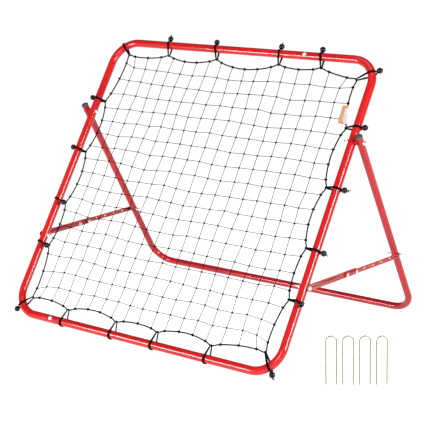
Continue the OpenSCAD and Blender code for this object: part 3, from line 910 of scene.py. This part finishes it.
def knot_curve(size):
    """A small tangled loop of twine about the origin."""
    line = []
    for k in range(KNOT_POINTS):
        a = 2 * math.pi * k / KNOT_POINTS
        line.append((
            size * (math.sin(a) + 1.5 * math.sin(2 * a)) * 0.42,
            size * (math.cos(a) - 1.5 * math.cos(2 * a)) * 0.42,
            -size * math.sin(3 * a) * 0.45,
        ))
    return np.array(line)


def net_twine(at):
    """Every line of the net, straight between knots."""
    build = Build()
    lines = []
    for i in range(1, CELLS):
        lines.append([("bottom", i)] + [(i, j) for j in range(1, CELLS)] + [("top", i)])
        lines.append([("left", i)] + [(j, i) for j in range(1, CELLS)] + [("right", i)])
    for line in lines:
        points = [at[p] for p in line]
        fine = []
        for a, b in zip(points, points[1:]):
            fine += [a + (b - a) * t for t in (0, 0.06, 0.5, 0.94)]
        fine.append(points[-1])
        verts, faces, strand = sweep(fine, TWINE_R, 6)
        build.add(verts, faces, 0, strand)
    build.make("net_twine", [TWINE], "main_frame", ["net"], NET_FRAME)


def net_knots(at):
    """A knot at every crossing, each turned its own way."""
    build = Build()
    turn = random.Random(KNOT_SEED)
    for i in range(1, CELLS):
        for j in range(1, CELLS):
            a = turn.choice([0, 0.5, 1, 1.5]) * math.pi + turn.gauss(0, 0.2)
            c, s = math.cos(a), math.sin(a)
            spin = np.array([[c, -s, 0], [s, c, 0], [0, 0, 1]])
            points = knot_curve(KNOT_R) @ spin.T + at[(i, j)]
            verts, faces, strand = sweep(points, KNOT_TWINE_R, 6, closed=True)
            build.add(verts, faces, 0, strand)
    build.make("net_knots", [TWINE], "main_frame", [], NET_FRAME)


def rope_line(at, rope):
    return smooth_line([at[p] for p in rope], ROPE_SPAN_POINTS, closed=True)


def edge_rope(line):
    build = Build()
    verts, faces, strand = sweep(line, ROPE_R, 12, closed=True, lobes=3, depth=0.22, lay=0.016)
    build.add(verts, faces, 0, strand)
    build.make("edge_rope", [ROPE], "main_frame", ["net_edge_rope"], NET_FRAME)


def rope_hitches(at, rope):
    """Two turns of twine round the rope wherever a line of the net ends on it."""
    build = Build()
    places = [at[p] for p in rope]
    count = len(rope)
    for k, p in enumerate(rope):
        x, u, _ = places[k]
        in_label = x > RIGHT_EDGE_X and abs(u - LABEL_U) < LABEL_H / 2 + LABEL_HITCH_ROOM
        if p[0] == "tie" or in_label:
            continue
        ahead = places[(k + 1) % count] - places[k - 1]
        ahead /= np.linalg.norm(ahead)
        aside = np.array([-ahead[1], ahead[0], 0])
        up = np.array([0, 0, 1.0])
        line = []
        for t in range(HITCH_POINTS):
            a = 2 * math.pi * t / HITCH_PER_TURN
            line.append(places[k] + ahead * (t / (HITCH_POINTS - 1) - 0.5) * HITCH_W
                        + (aside * math.cos(a) + up * math.sin(a)) * (ROPE_R + HITCH_TWINE_R))
        verts, faces, strand = sweep(line, HITCH_TWINE_R, 6)
        build.add(verts, faces, 0, strand)
        knot = knot_curve(KNOT_R * 1.15) + places[k] + up * (ROPE_R + TWINE_R)
        verts, faces, strand = sweep(knot, HITCH_TWINE_R, 6, closed=True)
        build.add(verts, faces, 0, strand)
    build.make("rope_hitches", [TWINE], "main_frame", [], NET_FRAME)


# Elastic ties

def tie_path(reach, ball_distance, ball_angle):
    """One cord's line in the plane across the tube, from the ball round tube and rope and back.
    Each point is (towards the net, out of the net's face, share of the cords' spread)."""
    around = TUBE_R + TIE_GAP + CORD_R
    hooked = ROPE_R + CORD_R * 0.9
    full = 2 * math.pi
    tangent = math.acos((around - hooked) / reach)
    lift = math.acos(min(0.98, around / ball_distance))
    ball = (ball_distance * math.cos(ball_angle), ball_distance * math.sin(ball_angle))
    entry = 1 - CORD_SINK * BALL_R / ball_distance
    start = (ball[0] * entry, ball[1] * entry, SPREAD_AT_BALL)
    line = [start]

    def arc(first, last):
        steps = max(2, int(abs(last - first) / ARC_STEP))
        for k in range(steps + 1):
            a = first + (last - first) * k / steps
            line.append((around * math.cos(a), around * math.sin(a), 1.0))

    if ball_angle - lift > tangent:
        arc(ball_angle - lift, tangent)
    for k in range(HOOK_STEPS + 1):
        a = tangent - 2 * tangent * k / HOOK_STEPS
        line.append((reach + hooked * math.cos(a), hooked * math.sin(a), SPREAD_AT_ROPE))
    if ball_angle + lift < full - tangent:
        arc(full - tangent, ball_angle + lift)
    line.append(start)
    return line


def even_line(points, step):
    """The same line with points about step apart."""
    points = np.asarray(points, float)
    gaps = np.linalg.norm(np.diff(points, axis=0), axis=1)
    along_line = np.concatenate([[0], np.cumsum(gaps)])
    wanted = np.linspace(0, along_line[-1], max(4, int(along_line[-1] / step)))
    return np.stack([np.interp(wanted, along_line, points[:, k]) for k in range(3)], axis=1)


def soften(points, rounds=3):
    """Takes the corners out of a line, keeping its ends."""
    points = points.copy()
    for _ in range(rounds):
        points[1:-1] = (points[:-2] + 2 * points[1:-1] + points[2:]) / 4
    return points


def tie_cords(name, net, tube, ball):
    """Two cords side by side, looped over the rope, with their ends in the ball.
    Returns the direction from the cords' last bend to the ball."""
    inward = net - tube
    reach = inward.length
    inward = np.array([inward.x, inward.y, 0]) / reach
    sideways = np.array([-inward[1], inward[0], 0])
    out = np.array([0, 0, 1.0])
    to_ball = np.array(ball) - np.array([tube.x, tube.y, 0])
    angle = math.atan2(to_ball @ out, to_ball @ inward) % (2 * math.pi)
    distance = np.linalg.norm(to_ball - sideways * (to_ball @ sideways))
    middle = np.array([tube.x, tube.y, 0])
    lean = to_ball @ sideways
    build = Build()
    path = tie_path(reach, distance, angle)
    for side in (-1, 1):
        points = []
        for k, (a, b, spread) in enumerate(path):
            shift = side * CORD_SPREAD * spread
            if k in (0, len(path) - 1):
                shift += lean * BALL_LEAN
            points.append(middle + inward * a + out * b + sideways * shift)
        fine = soften(even_line(points, CORD_STEP))
        near = np.linalg.norm(fine - middle - inward * reach, axis=1)
        radius = CORD_R * np.clip(CORD_THIN + near / CORD_FILL, CORD_THIN, 1.0)
        verts, faces, strand = sweep(fine, radius, 10)
        build.add(verts, faces, 0, strand)
    build.make(f"tie_cords_{name}", [ELASTIC], "main_frame",
               [f"ball_tie_{name}"], NET_FRAME)
    ends = [middle + inward * path[k][0] + out * path[k][1] for k in (1, -2)]
    return np.array(ball) - (ends[0] + ends[1]) / 2


def ball_profile():
    """Outline of a ball with a rounded hole at each end, from the tube's side outwards."""
    hole = BALL_HOLE_R
    start = math.asin(hole * 1.25 / BALL_R)
    rim = BALL_R * math.cos(start)
    floor_z = rim - BALL_HOLE_DEPTH
    profile = [(0, -floor_z), (hole * 0.9, -floor_z), (hole, BALL_HOLE_ROUND - rim)]
    for k in range(25):
        a = start + (math.pi - 2 * start) * k / 24
        seam = 1 - 0.006 * math.exp(-((a - math.pi / 2) / 0.03) ** 2)
        profile.append((BALL_R * math.sin(a) * seam, -BALL_R * math.cos(a)))
    return profile + [(hole, rim - BALL_HOLE_ROUND), (hole * 0.9, floor_z), (0, floor_z)]


def tie_ball(name, away, ball):
    """A ball with the cords' knot sunk in its outer end."""
    build = Build()
    m = facing(away, ball)
    points, faces = lathe(ball_profile(), 32, m)
    build.add(points, faces)
    turn = np.array(m)
    sunk = (turn @ np.array([0, 0, BALL_R * 0.93, 1]))[:3]
    knot = knot_curve(END_KNOT_R) @ turn[:3, :3].T + sunk
    knot = smooth_line(knot, 2, closed=True)
    verts, faces, strand = sweep(knot, END_KNOT_CORD_R, 6, closed=True)
    build.add(verts, faces, 1, strand)
    for bend, length in TAILS.get(name, []):
        line = [(bend * s * s, TAIL_WAVE * math.sin(7 * s), BALL_R * 0.85 + length * s)
                for s in (0, 0.3, 0.6, 0.85, 1)]
        points = np.array(line) @ turn[:3, :3].T + turn[:3, 3]
        verts, faces, strand = sweep(smooth_line(points, 4), TAIL_R, 8)
        build.add(verts, faces, 1, strand)
    build.make(f"tie_ball_{name}", [BALL, ELASTIC], "main_frame",
               [f"ball_tie_{name}"], NET_FRAME)


# Label

def flap_height(out):
    """Half the gap between the two flaps, at out label widths from the rope."""
    return LABEL_GAP + (LABEL_R - LABEL_GAP) * (1 - out) ** 2


def net_label(line):
    """A woven tag folded over the rope and sewn to itself."""
    rope = line[line[:, 0] > RIGHT_EDGE_X]
    rope = rope[np.argsort(rope[:, 1])]
    outs = [1 - k / (LABEL_FLAP_POINTS - 1) for k in range(LABEL_FLAP_POINTS)]
    profile = [(-LABEL_W * out, flap_height(out)) for out in outs]
    for k in range(1, LABEL_WRAP_STEPS):
        a = math.pi / 2 - math.pi * k / LABEL_WRAP_STEPS
        profile.append((LABEL_R * math.cos(a), LABEL_R * math.sin(a)))
    profile += [(-LABEL_W * out, -flap_height(out)) for out in reversed(outs)]
    points, strand = [], []
    for j in range(LABEL_ROWS + 1):
        v = j / LABEL_ROWS
        u = LABEL_U + (v - 0.5) * LABEL_H
        x = np.interp(u, rope[:, 1], rope[:, 0])
        for a, b in profile:
            curl = LABEL_CURL * math.sin(5 * v + 1) * (a / LABEL_W) ** 2
            lean = 1 + LABEL_LEAN * (1 - v) / LABEL_W if a < 0 else 1
            wander = LABEL_WANDER * math.sin(a / LABEL_W * 3)
            points.append((x + a * lean, u + wander, b + curl))
            strand.append((1, 0, v))
    width = len(profile)
    faces, bands = [], []
    orange, pale, beige = range(3)
    for j in range(LABEL_ROWS):
        v = (j + 0.5) / LABEL_ROWS
        for k in range(width - 1):
            out = -profile[k][0] / LABEL_W
            if v > ORANGE_TOP or (v < ORANGE_FOOT and out > ORANGE_FOOT_OUT):
                bands.append(orange)
            else:
                bands.append(beige if out > BEIGE_OUT else pale)
            a = j * width + k
            faces.append((a, a + 1, a + width + 1, a + width))
    build = Build()
    build.add(points, faces, bands, np.array(strand, float))
    label = build.make("net_label_tag", [ORANGE, PALE, BEIGE], "main_frame",
                       ["net_label"], NET_FRAME)
    thick = label.modifiers.new("thick", "SOLIDIFY")
    thick.thickness = LABEL_THICK
    thick.offset = 0
    stitches = Build()
    n = flap_height(STITCH_IN) + 0.0004
    for j in range(STITCHES):
        u = LABEL_U + (j / (STITCHES - 1) - 0.5) * (LABEL_H - STITCH_MARGIN)
        x = np.interp(u, rope[:, 1], rope[:, 0]) - LABEL_W * STITCH_IN
        ends = [(x, u - 0.0013, n - 0.0004), (x, u - 0.0009, n),
                (x, u + 0.0009, n), (x, u + 0.0013, n - 0.0004)]
        verts, faces, strand = sweep(ends, STITCH_R, 6)
        stitches.add(verts, faces, 0, strand)
    stitches.make("net_label_stitches", [THREAD], "main_frame", [], NET_FRAME)


# Stage

def camera():
    data = bpy.data.cameras.new("camera")
    data.lens = LENS
    data.shift_x, data.shift_y = CAMERA_SHIFT
    obj = bpy.data.objects.new("camera", data)
    bpy.context.scene.collection.objects.link(obj)
    turn = Matrix.Rotation(math.radians(CAMERA_YAW), 4, "Z")
    tilt = Matrix.Rotation(math.radians(90 - CAMERA_PITCH), 4, "X")
    roll = Matrix.Rotation(math.radians(CAMERA_ROLL), 4, "Z")
    obj.matrix_world = Matrix.Translation(CAMERA_AT) @ turn @ tilt @ roll
    bpy.context.scene.camera = obj


def floor():
    mesh = bpy.data.meshes.new("floor")
    corners = [(x * FLOOR_REACH, y * FLOOR_REACH, 0)
               for x, y in ((-1, -1), (1, -1), (1, 1), (-1, 1))]
    mesh.from_pydata(corners, [], [(0, 1, 2, 3)])
    obj = bpy.data.objects.new("floor", mesh)
    bpy.context.scene.collection.objects.link(obj)
    mat, _, shader = new_material("floor_paper", (0.35, 0.35, 0.35), 0.95, specular=0.0)
    shader.inputs["Emission Color"].default_value = (1, 1, 1, 1)
    shader.inputs["Emission Strength"].default_value = FLOOR_GLOW
    mesh.materials.append(mat)


def area_light(name, at, to, size, power):
    data = bpy.data.lights.new(name, "AREA")
    data.shape = "RECTANGLE"
    data.size, data.size_y = size
    data.energy = power
    obj = bpy.data.objects.new(name, data)
    bpy.context.scene.collection.objects.link(obj)
    obj.location = at
    obj.rotation_euler = (Vector(to) - Vector(at)).to_track_quat("-Z", "Y").to_euler()


def lights():
    for light in AREA_LIGHTS:
        area_light(*light)
    world = bpy.data.worlds.new("studio")
    world.use_nodes = True
    background = world.node_tree.nodes["Background"]
    background.inputs["Color"].default_value = (1, 1, 1, 1)
    background.inputs["Strength"].default_value = WORLD_GLOW
    bpy.context.scene.world = world
    bpy.context.scene.view_settings.view_transform = "Standard"


camera()
floor()
lights()
keep_cad_nodes()
fasteners()
TIES = all_ties()
AT, ROPE_ORDER = balance_net(TIES)
ROPE_LINE = rope_line(AT, ROPE_ORDER)
net_twine(AT)
net_knots(AT)
edge_rope(ROPE_LINE)
rope_hitches(AT, ROPE_ORDER)
for tie_name, (net_at, tube_at, ball_at) in TIES.items():
    away_from_tube = tie_cords(tie_name, net_at, tube_at, ball_at)
    tie_ball(tie_name, away_from_tube, ball_at)
net_label(ROPE_LINE)
